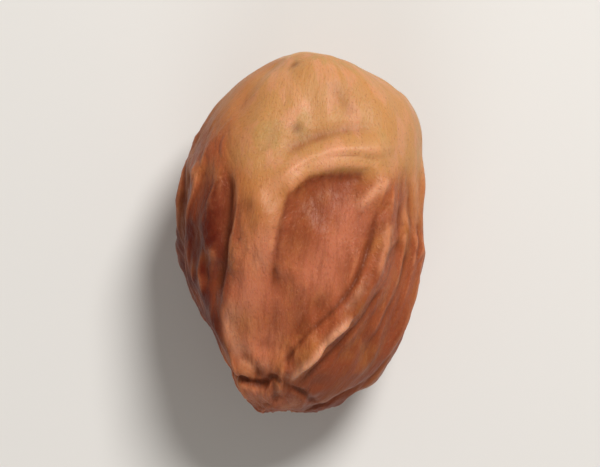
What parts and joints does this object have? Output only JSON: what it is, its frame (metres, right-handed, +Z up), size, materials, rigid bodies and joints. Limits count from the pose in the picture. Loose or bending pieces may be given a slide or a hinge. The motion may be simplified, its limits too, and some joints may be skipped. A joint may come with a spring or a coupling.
{
  "type": "dried date",
  "caption": "Whole dried date with a smooth pale shoulder, a sunken panel, folded wrinkled flanks and a bare stem scar, lying on its side.",
  "frame": {"origin": "on the surface that the date lies on, under the middle of its box", "axes": "+Z up, +Y along the date towards its stem end, +X to the right as seen from above"},
  "size_m": [0.0218, 0.0314, 0.0196],
  "materials": {
    "skin": "satin"
  },
  "bodies": {
    "root": {"date": "skin"}
  },
  "joints": []
}
